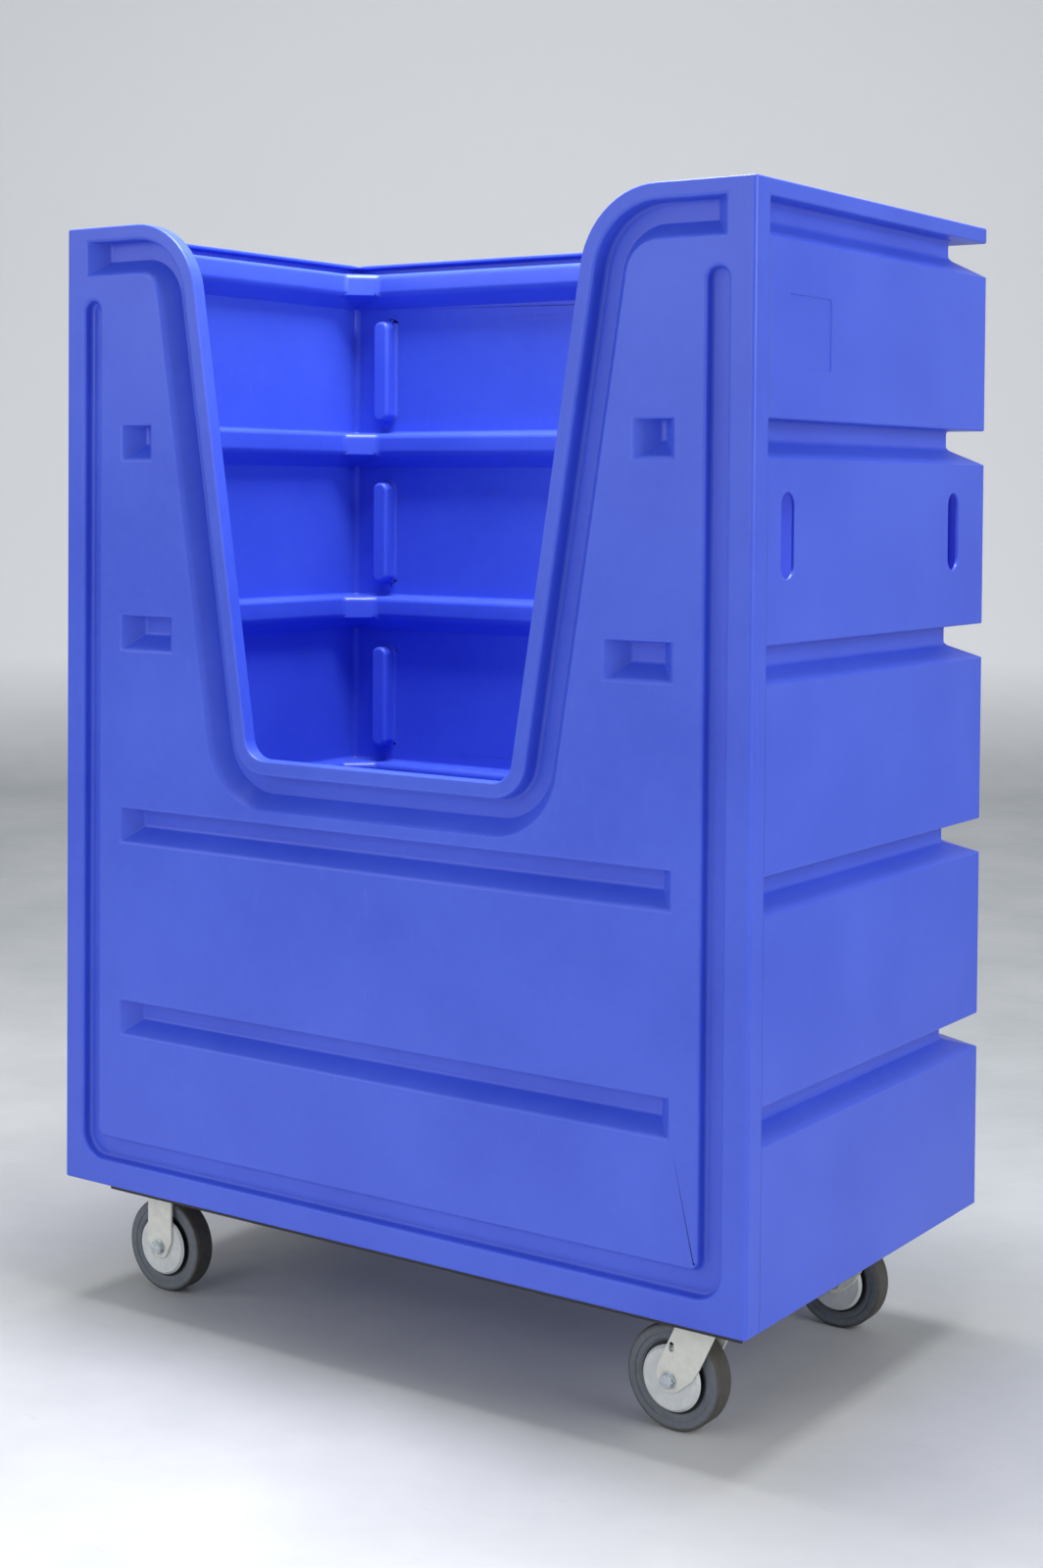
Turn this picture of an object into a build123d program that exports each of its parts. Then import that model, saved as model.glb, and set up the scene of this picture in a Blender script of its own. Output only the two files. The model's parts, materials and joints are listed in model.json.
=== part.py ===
from build123d import *
import os
from math import sqrt

os.makedirs("parts", exist_ok=True)

# ---------------------------------------------------------------- moulded tub
BODY_W = 1276.0  # across the front
BODY_D = 750.0  # front to back
BODY_H = 1550.0  # underside of the skirt to the top rim
BODY_Z = 196.0  # skirt above the ground
WALL = 6.0  # moulded wall
CORNER_R = 7.0  # upright corners of the tub, outside
INSIDE_CORNER_R = 12.0
SKIRT = 30.0  # depth of the recess under the floor that holds the frame
SKIRT_WALL = 12.0  # doubled wall round that recess
FLANGE = 25.0  # the rim and the mouth edge both turn inward this far
BAND = 24.0  # plain band outside the rim, above the first groove
GROOVE_DEPTH = 31.0
GROOVE_FLOOR = 30.0  # upright floor of a groove
GROOVE_H = 54.0  # ledge to the foot of the slope
GROOVE_TOPS = (1526.0, 1230.0, 926.0, 616.0, 305.0)  # ledges above the skirt
FRONT_POST = 40.0  # the grooves stop this far behind the front face
FACET = 47.0  # leg of the corner facet where two grooves meet
END_RUN = 28.0  # slope at the ends of the front grooves
MOUTH_SILL = 714.5  # lower edge of the loading mouth above the skirt
MOUTH_FOOT = 245.5  # half width at the sill
MOUTH_HEAD = 376.5  # half width where its sides would meet the rim
MOUTH_FOOT_R = 35.0
MOUTH_HEAD_R = 125.0
CHANNEL_END = 594.0  # half length of the groove that follows the mouth
LONG_GROOVE_END = 516.0  # half length of the two long front grooves
POCKET_OUTER = 515.0
POCKET_INNER = (450.0, 405.0)  # inner ends of the upper and lower pockets
LEG_OUTER = 597.0  # shallow U groove round the front panel
LEG_INNER = 563.0
LEG_TOP = 1432.0
LEG_FOOT = 42.0
LEG_FOOT_INNER = 79.0
LEG_DEPTH = 18.0
LEG_FOOT_R = 40.0
LEG_FOOT_INNER_R = 14.0
RIB_X = 555.0  # upright ribs inside the back wall
RIB_W = 22.0
RIB_H = 174.0
RIB_R = 9.0
RIB_DEPTH = 28.0
HAND_W = 38.0  # hand slots through the right end wall
HAND_H = 118.0
HAND_Z = 1072.5
HAND_FRONT = 96.5  # slot centres from the front face and from the back face
HAND_BACK = 117.0
PLAQUE_Y = 155.5  # shallow blank panel on the right end
PLAQUE_Z = 1349.5
PLAQUE_W = 125.0
PLAQUE_H = 101.0
PLAQUE_DEPTH = 1.5

# ---------------------------------------------------------------- steel frame
STEEL = 5.0  # thickness of the rails, channels and corner plates
FRAME_GAP = 1.0  # between the frame and the recess round it
RAIL_LEG = 38.0  # flat leg of a rail, under the floor
RAIL_FOOT = 187.0  # lower edge of a rail
RAIL_SHORT = 78.0  # the upright leg of a long rail stops this far short of the left end
SEAT_Z = 190.0  # level the casters bolt up to
CHANNEL_W = 150.0
STRINGER_W = 60.0
STRINGER_X = 160.0
GUSSET_W = 28.0  # plates that tie the rails together at the corners
GUSSET_L = 77.0

# ---------------------------------------------------------------- fasteners
CORNER_BOLT_D = 10.0
CORNER_BOLT_END = 36.0  # in from the end of the tub
CORNER_BOLT_SIDE = 39.0  # in from the front or back of the tub
FLOOR_BOLT_D = 8.0
FLOOR_BOLT_XS = (-300.0, 0.0, 300.0)
FLOOR_BOLT_SIDE = 39.0
FLOOR_BOLT_END = 34.0
HOLE_PLAY = 0.5  # added to the diameter of every clearance hole
DOME_H = 5.0
DOME_EXTRA = 14.0  # dome head wider than its shank by this much
NUT_H = 8.0
NUT_EXTRA = 7.0  # across the flats of a nut, over the thread
TAIL = 4.0  # thread beyond a nut

# ---------------------------------------------------------------- casters
CASTER_SIDE = 124.0  # wheel centre line in from the front or back of the tub
RIGID_END = 122.0  # rigid axle in from the left end
SWIVEL_END = 125.0  # swivel axis in from the right end
TRAIL = 50.0
WHEEL_R = 76.2
TYRE_HALF = 19.0
TYRE_BORE = 52.0
CORE_RIM = 47.0
CORE_RIM_HALF = 14.5
CORE_WEB_HALF = 4.0
HUB_R = 18.0
HUB_HALF = 22.0
SLEEVE_R = 10.0
RUNNING_GAP = 0.05  # sleeve to hub, kingpin to fork
GUARD_T = 1.5
GUARD_FACE_R = 43.5
GUARD_R = 47.5
GUARD_LIP = 4.1
AXLE_R = 6.0
AXLE_HEAD_H = 8.0
AXLE_FLATS = 19.0
AXLE_FLANGE_R = 12.5
AXLE_NUT_H = 10.0
LEG_GAP_HALF = 24.6  # inside of a fork leg from the middle of the wheel
LEG_T = 5.0
PAD_X = 115.0
PAD_Y = 100.0
PAD_T = 5.0
PAD_BOLT_X = 45.0
PAD_BOLT_Y = 38.0
PAD_BOLT_D = 8.0
PAD_HEAD_H = 6.4
CROWN_Z = 168.0
RACE_R = 24.0
BALL_R = 4.0
BALL_Z = 175.5
BALLS = 12
RACE_PLAY = 0.3
RACE_IN = 16.0
RACE_OUT = 31.0
RACE_FOOT = 177.5
SHIELD_R = 34.5
SHIELD_T = 1.5
SHIELD_FOOT = 174.2
KINGPIN_R = 6.0
KINGPIN_HEAD_R = 13.0
KINGPIN_HEAD_H = 6.0
FOOT_LEVEL = 100.0  # the outline of a fork leg is rounded below this
FOOT_R = 14.0
BRACKET_FOOT_R = 10.0
LEG_HOLE_X = 3.7
LEG_HOLE_Z = 124.0
LEG_HOLE_W = 7.5
LEG_HOLE_H = 14.0

# ---------------------------------------------------------------- worked out
TOP_Z = BODY_Z + BODY_H
FACE_Y = -BODY_D / 2
BACK_Y = BODY_D / 2
END_X = BODY_W / 2
FLOOR_UNDER = BODY_Z + SKIRT
FLOOR_TOP = FLOOR_UNDER + WALL
FRAME_X = END_X - SKIRT_WALL - FRAME_GAP
FRAME_Y = BACK_Y - SKIRT_WALL - FRAME_GAP
LEG_OUT_HALF = LEG_GAP_HALF + LEG_T
CHANNEL_TOP = FLOOR_UNDER - STEEL
GUSSET_FOOT = CHANNEL_TOP - STEEL
PAD_UNDER = SEAT_Z - PAD_T
PAST_END = END_X + SKIRT
CASTER_Y = BACK_Y - CASTER_SIDE
RIGID_X = RIGID_END - END_X
SWIVEL_X = END_X - SWIVEL_END
FRONT = Plane(origin=(0, FACE_Y, 0), x_dir=(1, 0, 0), z_dir=(0, -1, 0))
REAR = Plane(origin=(0, BACK_Y, 0), x_dir=(-1, 0, 0), z_dir=(0, 1, 0))
CORNERS = [
    (sx * (END_X - CORNER_BOLT_END), sy * (BACK_Y - CORNER_BOLT_SIDE)) for sx in (-1, 1) for sy in (-1, 1)
]
FLOOR_POINTS = [(x, sy * (BACK_Y - FLOOR_BOLT_SIDE)) for x in FLOOR_BOLT_XS for sy in (-1, 1)]
END_POINTS = [(sx * (END_X - FLOOR_BOLT_END), 0) for sx in (-1, 1)]
FLOOR_POINTS += END_POINTS
SEATS = [(RIGID_X, -CASTER_Y), (RIGID_X, CASTER_Y), (SWIVEL_X, -CASTER_Y), (SWIVEL_X, CASTER_Y)]
PAD_POINTS = [
    (x + sx * PAD_BOLT_X, y + sy * PAD_BOLT_Y) for x, y in SEATS for sx in (-1, 1) for sy in (-1, 1)
]


def groove_points(depth, top):
    # Flat ledge, upright floor, slope back out to the face below.
    return [(0, top), (depth, top), (depth, top - GROOVE_FLOOR), (0, top - GROOVE_H)]


def groove_run(origin, inward, top, length, depth, grow, both=False):
    # One straight groove, extruded at right angles to its section.
    axis = Vector(*inward).cross(Vector(0, 0, 1))
    with BuildPart() as run:
        with BuildSketch(Plane(origin=origin, x_dir=inward, z_dir=axis)):
            Polygon(*groove_points(depth, top), align=None)
            if grow:
                offset(amount=grow, kind=Kind.INTERSECTION)
        extrude(amount=length, both=both)
    return run.part


def wrap_groove(top, grow):
    # A groove round the right end, the back and the left end, with a facet at each back corner.
    length = BODY_D - FRONT_POST + grow
    reach = GROOVE_DEPTH * sqrt(2) + FACET / sqrt(2)
    with BuildPart() as wrap:
        add(groove_run((END_X, BACK_Y - length, 0), (-1, 0, 0), top, length, GROOVE_DEPTH, grow))
        add(groove_run((-END_X, BACK_Y, 0), (1, 0, 0), top, length, GROOVE_DEPTH, grow))
        add(groove_run((END_X, BACK_Y, 0), (0, -1, 0), top, BODY_W, GROOVE_DEPTH, grow))
        for side in (-1, 1):
            corner = (side * END_X, BACK_Y, 0)
            add(groove_run(corner, (-side, -1, 0), top, reach + CORNER_R, reach, grow, True))
    return wrap.part


def front_groove(left, right, top, grow):
    # A groove in the front face alone, with sloping ends.
    ends = [(left, FACE_Y), (right, FACE_Y), (right - END_RUN, FACE_Y + GROOVE_DEPTH)]
    ends.append((left + END_RUN, FACE_Y + GROOVE_DEPTH))
    with BuildPart() as groove:
        start = (left - grow, FACE_Y, 0)
        add(groove_run(start, (0, 1, 0), top, right - left + 2 * grow, GROOVE_DEPTH, grow))
        with BuildSketch(Plane.XY):
            Polygon(*ends, align=None)
            if grow:
                offset(amount=grow, kind=Kind.INTERSECTION)
        extrude(amount=TOP_Z, mode=Mode.INTERSECT)
    return groove.part


def mouth_corners():
    head = [(-MOUTH_HEAD, TOP_Z), (MOUTH_HEAD, TOP_Z)]
    sill = BODY_Z + MOUTH_SILL
    return [head[0], (-MOUTH_FOOT, sill), (MOUTH_FOOT, sill), head[1]]


def mouth_opening(depth, grow):
    # The loading mouth, as a block reaching back from the front face.
    head_left, foot_left, foot_right, head_right = mouth_corners()
    over = TOP_Z + SKIRT
    outline = [(-PAST_END, TOP_Z), head_left, foot_left, foot_right, head_right]
    outline += [(PAST_END, TOP_Z), (PAST_END, over), (-PAST_END, over)]
    with BuildPart() as mouth:
        with BuildSketch(FRONT) as face:
            Polygon(*outline, align=None)
            fillet(face.vertices().group_by(Axis.Y)[0], radius=MOUTH_FOOT_R)
            head = [v for v in face.vertices() if abs(abs(v.X) - MOUTH_HEAD) < 1]
            fillet(head, radius=MOUTH_HEAD_R)
            if grow:
                offset(amount=grow)
        extrude(amount=-depth)
    return mouth.part


def mouth_channel(grow):
    # The first groove carried across the front, following the edge of the mouth.
    far = PAST_END - GROOVE_H / 2
    lines = [(-far, TOP_Z)] + mouth_corners() + [(far, TOP_Z)]
    with BuildLine(FRONT) as edge:
        Polyline(*lines)
        fillet([v for v in edge.vertices() if abs(abs(v.X) - MOUTH_FOOT) < 1], radius=MOUTH_FOOT_R)
        fillet([v for v in edge.vertices() if abs(abs(v.X) - MOUTH_HEAD) < 1], radius=MOUTH_HEAD_R)
    section = [(0, BAND), (GROOVE_DEPTH, BAND), (GROOVE_DEPTH, BAND + GROOVE_FLOOR), (0, BAND + GROOVE_H)]
    ends = [(-CHANNEL_END, FACE_Y), (CHANNEL_END, FACE_Y), (CHANNEL_END - END_RUN, FACE_Y + GROOVE_DEPTH)]
    ends.append((END_RUN - CHANNEL_END, FACE_Y + GROOVE_DEPTH))
    with BuildPart() as channel:
        start = Plane(origin=(-far, FACE_Y, TOP_Z), x_dir=(0, 1, 0), z_dir=(-1, 0, 0))
        with BuildSketch(start):
            Polygon(*section, align=None)
            if grow:
                offset(amount=grow, kind=Kind.INTERSECTION)
        sweep(path=edge.wires()[0])
        with BuildSketch(Plane.XY):
            Polygon(*ends, align=None)
            if grow:
                offset(amount=grow, kind=Kind.INTERSECTION)
        extrude(amount=TOP_Z + SKIRT, mode=Mode.INTERSECT)
    return channel.part


def leg_groove(grow):
    # The shallow U groove down both legs and along the foot of the front.
    foot = BODY_Z + LEG_FOOT - grow
    foot_inner = BODY_Z + LEG_FOOT_INNER + grow
    end = BODY_Z + LEG_TOP - (LEG_OUTER - LEG_INNER) / 2
    middle = (LEG_OUTER + LEG_INNER) / 2
    out = LEG_OUTER + grow
    inn = LEG_INNER - grow
    outline = [(-out, end), (-out, foot), (out, foot), (out, end)]
    outline += [(inn, end), (inn, foot_inner), (-inn, foot_inner), (-inn, end)]
    with BuildPart() as groove:
        with BuildSketch(FRONT) as face:
            Polygon(*outline, align=None)
            fillet(face.vertices().group_by(Axis.Y)[0], radius=LEG_FOOT_R + grow)
            inner = [v for v in face.vertices() if abs(v.Y - foot_inner) < 1]
            fillet(inner, radius=LEG_FOOT_INNER_R - grow)
            with Locations((-middle, end), (middle, end)):
                Circle((LEG_OUTER - LEG_INNER) / 2 + grow)
        extrude(amount=-LEG_DEPTH - grow)
    return groove.part


def back_ribs(grow):
    # Three upright ribs each side, pressed into the back wall between the grooves.
    tops = GROOVE_TOPS[:3]
    feet = GROOVE_TOPS[1:4]
    middles = [BODY_Z + (a - GROOVE_H + b) / 2 for a, b in zip(tops, feet)]
    with BuildPart() as ribs:
        with BuildSketch(REAR):
            with Locations(*[(side * RIB_X, z) for side in (-1, 1) for z in middles]):
                RectangleRounded(RIB_W + 2 * grow, RIB_H + 2 * grow, RIB_R + grow)
        extrude(amount=-RIB_DEPTH - grow)
    return ribs.part


def tub_form(grow):
    # The outside of the moulding, or with grow its inside, one wall thickness in.
    foot = FLOOR_TOP if grow else BODY_Z
    with BuildPart() as form:
        with BuildSketch(Plane.XY.offset(foot)):
            RectangleRounded(BODY_W - 2 * grow, BODY_D - 2 * grow, INSIDE_CORNER_R if grow else CORNER_R)
        extrude(amount=TOP_Z - grow - foot)
        for top in GROOVE_TOPS:
            add(wrap_groove(BODY_Z + top, grow), mode=Mode.SUBTRACT)
        for top in GROOVE_TOPS[3:]:
            add(front_groove(-LONG_GROOVE_END, LONG_GROOVE_END, BODY_Z + top, grow), mode=Mode.SUBTRACT)
        for top, inner in zip(GROOVE_TOPS[1:3], POCKET_INNER):
            add(front_groove(inner, POCKET_OUTER, BODY_Z + top, grow), mode=Mode.SUBTRACT)
            add(front_groove(-POCKET_OUTER, -inner, BODY_Z + top, grow), mode=Mode.SUBTRACT)
        add(mouth_channel(grow), mode=Mode.SUBTRACT)
        add(leg_groove(grow), mode=Mode.SUBTRACT)
        add(back_ribs(grow), mode=Mode.SUBTRACT)
        add(mouth_opening(FLANGE, grow), mode=Mode.SUBTRACT)
    return form.part


def make_body_shell():
    # One moulding: tub, rim, mouth flange, grooves, ribs, hand slots and the skirt round the frame.
    with BuildPart() as body_shell:
        add(tub_form(0))
        add(tub_form(WALL), mode=Mode.SUBTRACT)
        with BuildSketch(Plane.XY.offset(TOP_Z - WALL)):
            Rectangle(BODY_W - 2 * FLANGE, BODY_D - 2 * FLANGE)
        extrude(amount=2 * WALL, mode=Mode.SUBTRACT)
        with BuildSketch(Plane.XY.offset(BODY_Z)):
            Rectangle(BODY_W - 2 * SKIRT_WALL, BODY_D - 2 * SKIRT_WALL)
        extrude(amount=SKIRT, mode=Mode.SUBTRACT)
        slots = [(FACE_Y + HAND_FRONT, BODY_Z + HAND_Z), (BACK_Y - HAND_BACK, BODY_Z + HAND_Z)]
        with BuildSketch(Plane.YZ):
            with Locations(*slots):
                SlotOverall(HAND_H, HAND_W, rotation=90)
        extrude(amount=END_X, mode=Mode.SUBTRACT)
        with BuildSketch(Plane.YZ.offset(END_X - PLAQUE_DEPTH)):
            with Locations((FACE_Y + PLAQUE_Y, BODY_Z + PLAQUE_Z)):
                RectangleRounded(PLAQUE_W, PLAQUE_H, WALL)
        extrude(amount=PLAQUE_DEPTH, mode=Mode.SUBTRACT)
        with BuildSketch(Plane.XY.offset(FLOOR_UNDER)):
            with Locations(*CORNERS):
                Circle((CORNER_BOLT_D + HOLE_PLAY) / 2)
            with Locations(*FLOOR_POINTS):
                Circle((FLOOR_BOLT_D + HOLE_PLAY) / 2)
        extrude(amount=WALL, mode=Mode.SUBTRACT)
    body_shell.part.label = "body_shell"
    export_step(body_shell.part, "parts/body_shell.step")


def make_long_rail(name, side):
    # Angle rail under the front or the back edge of the floor.
    middle = side * (FRAME_Y - STEEL / 2)
    with BuildPart() as rail:
        with Locations((RAIL_SHORT / 2, middle, (RAIL_FOOT + FLOOR_UNDER) / 2)):
            Box(2 * FRAME_X - RAIL_SHORT, STEEL, FLOOR_UNDER - RAIL_FOOT)
        with Locations((0, side * (FRAME_Y - RAIL_LEG / 2), FLOOR_UNDER - STEEL / 2)):
            Box(2 * FRAME_X, RAIL_LEG, STEEL)
        with BuildSketch(Plane.XY.offset(CHANNEL_TOP)):
            with Locations(*[p for p in CORNERS if p[1] * side > 0]):
                Circle((CORNER_BOLT_D + HOLE_PLAY) / 2)
            with Locations(*[p for p in FLOOR_POINTS if p[1] * side > 0]):
                Circle((FLOOR_BOLT_D + HOLE_PLAY) / 2)
        extrude(amount=STEEL, mode=Mode.SUBTRACT)
    rail.part.label = name
    export_step(rail.part, f"parts/{name}.step")


def make_end_rail(name, side):
    # Angle rail across one end, between the two long rails.
    length = 2 * (FRAME_Y - RAIL_LEG)
    with BuildPart() as rail:
        with Locations((side * (FRAME_X - STEEL / 2), 0, (RAIL_FOOT + FLOOR_UNDER) / 2)):
            Box(STEEL, length, FLOOR_UNDER - RAIL_FOOT)
        with Locations((side * (FRAME_X - RAIL_LEG / 2), 0, FLOOR_UNDER - STEEL / 2)):
            Box(RAIL_LEG, length, STEEL)
        with BuildSketch(Plane.XY.offset(CHANNEL_TOP)):
            with Locations(*[p for p in END_POINTS if p[0] * side > 0]):
                Circle((FLOOR_BOLT_D + HOLE_PLAY) / 2)
        extrude(amount=STEEL, mode=Mode.SUBTRACT)
    rail.part.label = name
    export_step(rail.part, f"parts/{name}.step")


def channel_section(width):
    # Upright-sided channel with its web at the bottom.
    half = width / 2
    points = [(-half, CHANNEL_TOP), (-half, SEAT_Z), (half, SEAT_Z), (half, CHANNEL_TOP)]
    points += [(half - STEEL, CHANNEL_TOP), (half - STEEL, SEAT_Z + STEEL)]
    points += [(STEEL - half, SEAT_Z + STEEL), (STEEL - half, CHANNEL_TOP)]
    return points


def make_caster_channel(name, middle):
    # Cross channel that carries the two casters at one end.
    with BuildPart() as channel:
        with BuildSketch(Plane(origin=(middle, 0, 0), x_dir=(1, 0, 0), z_dir=(0, -1, 0))):
            Polygon(*channel_section(CHANNEL_W), align=None)
        extrude(amount=FRAME_Y - STEEL, both=True)
        with BuildSketch(Plane.XY.offset(SEAT_Z)):
            with Locations(*[p for p in PAD_POINTS if p[0] * middle > 0]):
                Circle((PAD_BOLT_D + HOLE_PLAY) / 2)
        extrude(amount=STEEL, mode=Mode.SUBTRACT)
    channel.part.label = name
    export_step(channel.part, f"parts/{name}.step")


def make_stringers():
    # Two lighter cross channels under the middle of the floor.
    with BuildPart() as stringers:
        for side in (-1, 1):
            with BuildSketch(Plane(origin=(side * STRINGER_X, 0, 0), x_dir=(1, 0, 0), z_dir=(0, -1, 0))):
                Polygon(*channel_section(STRINGER_W), align=None)
            extrude(amount=FRAME_Y - STEEL, both=True)
    stringers.part.label = "frame_stringers"
    export_step(stringers.part, "parts/frame_stringers.step")


def make_corner_plates():
    # Flat plates welded under the rails, tying a long rail to an end rail at each corner.
    along = FRAME_X - STEEL - GUSSET_W / 2
    across = FRAME_Y - STEEL - GUSSET_L / 2
    with BuildPart() as plates:
        with BuildSketch(Plane.XY.offset(GUSSET_FOOT)):
            with Locations(*[(sx * along, sy * across) for sx in (-1, 1) for sy in (-1, 1)]):
                Rectangle(GUSSET_W, GUSSET_L)
            with Locations(*CORNERS):
                Circle((CORNER_BOLT_D + HOLE_PLAY) / 2, mode=Mode.SUBTRACT)
        extrude(amount=STEEL)
    plates.part.label = "frame_corner_plates"
    export_step(plates.part, "parts/frame_corner_plates.step")


def make_dome_bolts(name, points, diameter, tail_z):
    # Dome-headed bolts dropped through the floor from inside the tub.
    with BuildPart() as bolts:
        with BuildSketch(Plane.XY.offset(tail_z)):
            with Locations(*points):
                Circle(diameter / 2)
        extrude(amount=FLOOR_TOP - tail_z)
        with BuildSketch(Plane.XY.offset(FLOOR_TOP)):
            with Locations(*points):
                Circle((diameter + DOME_EXTRA) / 2)
        extrude(amount=DOME_H, taper=45)
    bolts.part.label = name
    export_step(bolts.part, f"parts/{name}.step")


def make_nuts(name, points, diameter, top_z):
    # Hexagon nuts under the frame, threaded on their bolts.
    with BuildPart() as nuts:
        with BuildSketch(Plane.XY.offset(top_z - NUT_H)):
            with Locations(*points):
                RegularPolygon((diameter + NUT_EXTRA) / 2, 6, major_radius=False)
            with Locations(*points):
                Circle(diameter / 2, mode=Mode.SUBTRACT)
        extrude(amount=NUT_H)
    nuts.part.label = name
    export_step(nuts.part, f"parts/{name}.step")


def make_pad_bolts():
    # Hexagon bolts up through each caster plate and the channel.
    top = SEAT_Z + STEEL + NUT_H + TAIL
    with BuildPart() as bolts:
        with BuildSketch(Plane.XY.offset(PAD_UNDER - PAD_HEAD_H)):
            with Locations(*PAD_POINTS):
                RegularPolygon((PAD_BOLT_D + NUT_EXTRA) / 2, 6, major_radius=False)
        extrude(amount=PAD_HEAD_H)
        with BuildSketch(Plane.XY.offset(PAD_UNDER)):
            with Locations(*PAD_POINTS):
                Circle(PAD_BOLT_D / 2)
        extrude(amount=top - PAD_UNDER)
    bolts.part.label = "caster_bolts"
    export_step(bolts.part, "parts/caster_bolts.step")


def pad_holes(x, y):
    # Four holes in a caster plate centred on its seat.
    with Locations(*[(x + sx * PAD_BOLT_X, y + sy * PAD_BOLT_Y) for sx in (-1, 1) for sy in (-1, 1)]):
        Circle((PAD_BOLT_D + HOLE_PLAY) / 2, mode=Mode.SUBTRACT)


def wheel_plane(x, y):
    # Upright plane through the middle of a wheel.
    return Plane(origin=(x, y, 0), x_dir=(1, 0, 0), z_dir=(0, -1, 0))


def make_rigid_bracket(name, y):
    # Plate and two straight legs pressed from one sheet.
    leg = [(-26, PAD_UNDER), (26, PAD_UNDER), (26, 88), (13, 59), (-13, 59), (-26, 88)]
    with BuildPart() as bracket:
        with BuildSketch(wheel_plane(RIGID_X, y)) as outline:
            Polygon(*leg, align=None)
            fillet([v for v in outline.vertices() if v.Y < FOOT_LEVEL], radius=BRACKET_FOOT_R)
            with Locations((0, WHEEL_R)):
                Circle(AXLE_R * 3)
                Circle(AXLE_R, mode=Mode.SUBTRACT)
        extrude(amount=LEG_OUT_HALF, both=True)
        with Locations((RIGID_X, y, PAD_UNDER / 2)):
            Box(2 * WHEEL_R, 2 * LEG_GAP_HALF, PAD_UNDER, mode=Mode.SUBTRACT)
        with BuildSketch(Plane.XY.offset(PAD_UNDER)):
            with Locations((RIGID_X, y)):
                RectangleRounded(PAD_X, PAD_Y, WALL)
            pad_holes(RIGID_X, y)
        extrude(amount=PAD_T)
    bracket.part.label = name
    export_step(bracket.part, f"parts/{name}.step")


def make_swivel_plate(name, y):
    # Top plate with the upper ball race formed under it.
    with BuildPart() as plate:
        with BuildSketch(Plane.XY.offset(PAD_UNDER)):
            with Locations((SWIVEL_X, y)):
                RectangleRounded(PAD_X, PAD_Y, WALL)
            pad_holes(SWIVEL_X, y)
        extrude(amount=PAD_T)
        with BuildSketch(Plane.XY.offset(RACE_FOOT)):
            with Locations((SWIVEL_X, y)):
                Circle(RACE_OUT)
                Circle(RACE_IN, mode=Mode.SUBTRACT)
        extrude(amount=PAD_UNDER - RACE_FOOT)
        with Locations((SWIVEL_X, y, BALL_Z)):
            Torus(RACE_R, BALL_R + RACE_PLAY, mode=Mode.SUBTRACT)
        with Locations((SWIVEL_X, y, SEAT_Z - PAD_T / 2)):
            Cylinder(KINGPIN_R, PAD_T, mode=Mode.SUBTRACT)
    plate.part.label = name
    export_step(plate.part, f"parts/{name}.step")


def make_shield(name, y):
    # Thin ring that keeps dirt off the balls.
    with BuildPart() as shield:
        with BuildSketch(Plane.XY.offset(SHIELD_FOOT)):
            with Locations((SWIVEL_X, y)):
                Circle(SHIELD_R)
                Circle(SHIELD_R - SHIELD_T, mode=Mode.SUBTRACT)
        extrude(amount=PAD_UNDER - SHIELD_FOOT)
    shield.part.label = name
    export_step(shield.part, f"parts/{name}.step")


def make_kingpin(name, y):
    # Riveted pin through the top plate, with its head under the fork crown.
    head_top = CROWN_Z - RACE_PLAY
    with BuildPart() as kingpin:
        with BuildSketch(Plane.XY.offset(head_top - KINGPIN_HEAD_H)):
            with Locations((SWIVEL_X, y)):
                Circle(KINGPIN_HEAD_R)
        extrude(amount=KINGPIN_HEAD_H)
        with BuildSketch(Plane.XY.offset(head_top)):
            with Locations((SWIVEL_X, y)):
                Circle(KINGPIN_R)
        extrude(amount=SEAT_Z - head_top)
    kingpin.part.label = name
    export_step(kingpin.part, f"parts/{name}.step")


def make_balls(name, y):
    # Ball ring between the top plate and the fork crown.
    with BuildPart() as balls:
        with Locations((SWIVEL_X, y, BALL_Z)):
            with PolarLocations(RACE_R, BALLS):
                Sphere(BALL_R)
    balls.part.label = name
    export_step(balls.part, f"parts/{name}.step")


def make_swivel_fork(name, y):
    # Crown and two raked legs pressed from one sheet, the wheel trailing behind the pin.
    top = CROWN_Z + LEG_T
    leg = [(18, top), (84, top), (72.4, 149.5), (48.4, 99.3), (36, 80), (10, 59)]
    leg += [(-14, 62), (-20, 78), (-19.6, 93)]
    axle_x = SWIVEL_X - TRAIL
    with BuildPart() as fork:
        with BuildSketch(wheel_plane(axle_x, y)) as outline:
            Polygon(*leg, align=None)
            fillet([v for v in outline.vertices() if v.Y < FOOT_LEVEL], radius=FOOT_R)
            with Locations((0, WHEEL_R)):
                Circle(AXLE_R * 3)
                Circle(AXLE_R, mode=Mode.SUBTRACT)
            with Locations((LEG_HOLE_X, LEG_HOLE_Z)):
                SlotOverall(LEG_HOLE_H, LEG_HOLE_W, rotation=90, mode=Mode.SUBTRACT)
        extrude(amount=LEG_OUT_HALF, both=True)
        with Locations((axle_x, y, CROWN_Z / 2)):
            Box(4 * WHEEL_R, 2 * LEG_GAP_HALF, CROWN_Z, mode=Mode.SUBTRACT)
        with Locations((SWIVEL_X, y, CROWN_Z + LEG_T / 2)):
            Cylinder(KINGPIN_R + RUNNING_GAP, LEG_T, mode=Mode.SUBTRACT)
        with Locations((SWIVEL_X, y, BALL_Z)):
            Torus(RACE_R, BALL_R + RUNNING_GAP, mode=Mode.SUBTRACT)
    fork.part.label = name
    export_step(fork.part, f"parts/{name}.step")


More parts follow.
